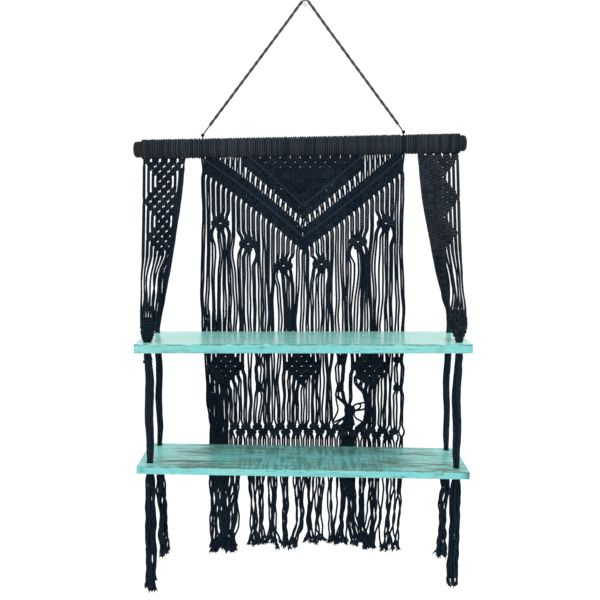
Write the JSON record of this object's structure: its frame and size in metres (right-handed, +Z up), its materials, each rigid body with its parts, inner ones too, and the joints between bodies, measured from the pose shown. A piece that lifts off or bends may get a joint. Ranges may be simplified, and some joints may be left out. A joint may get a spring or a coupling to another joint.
{
  "type": "macrame wall shelf with dowel and wall nail",
  "caption": "Hanging shelf of distressed painted boards in dark knotted cord, with a fringed back panel, side panels and tassels, hung by a rope on a nail.",
  "frame": {"origin": "the point of the wall's face where the nail goes in", "axes": "+X to the right seen from the room, +Y into the wall, +Z up; the object is at negative Y"},
  "size_m": [0.6238, 0.159, 1.0814],
  "materials": {
    "cord": "dark blue-black cotton cord",
    "rope": "dark grey twisted cord",
    "board": "turquoise paint, worn, satin",
    "dowel": "dark stain, satin",
    "nail": "satin"
  },
  "bodies": {
    "root": {"wall_nail": "nail", "hanging_rope": "rope", "rope_tie_left": "rope", "rope_tie_right": "rope", "dowel": "dowel", "heading_left": "cord", "heading_back": "cord", "heading_right": "cord", "back_panel": "cord", "back_fringe": "cord", "side_panel_left": "cord", "side_panel_right": "cord", "upper_board": "board", "lower_board": "board", "bundle_front_left": "cord", "bundle_back_left": "cord", "bundle_front_right": "cord", "bundle_back_right": "cord", "tassel_front_left": "cord", "tassel_back_left": "cord", "tassel_front_right": "cord", "tassel_back_right": "cord"}
  },
  "joints": []
}
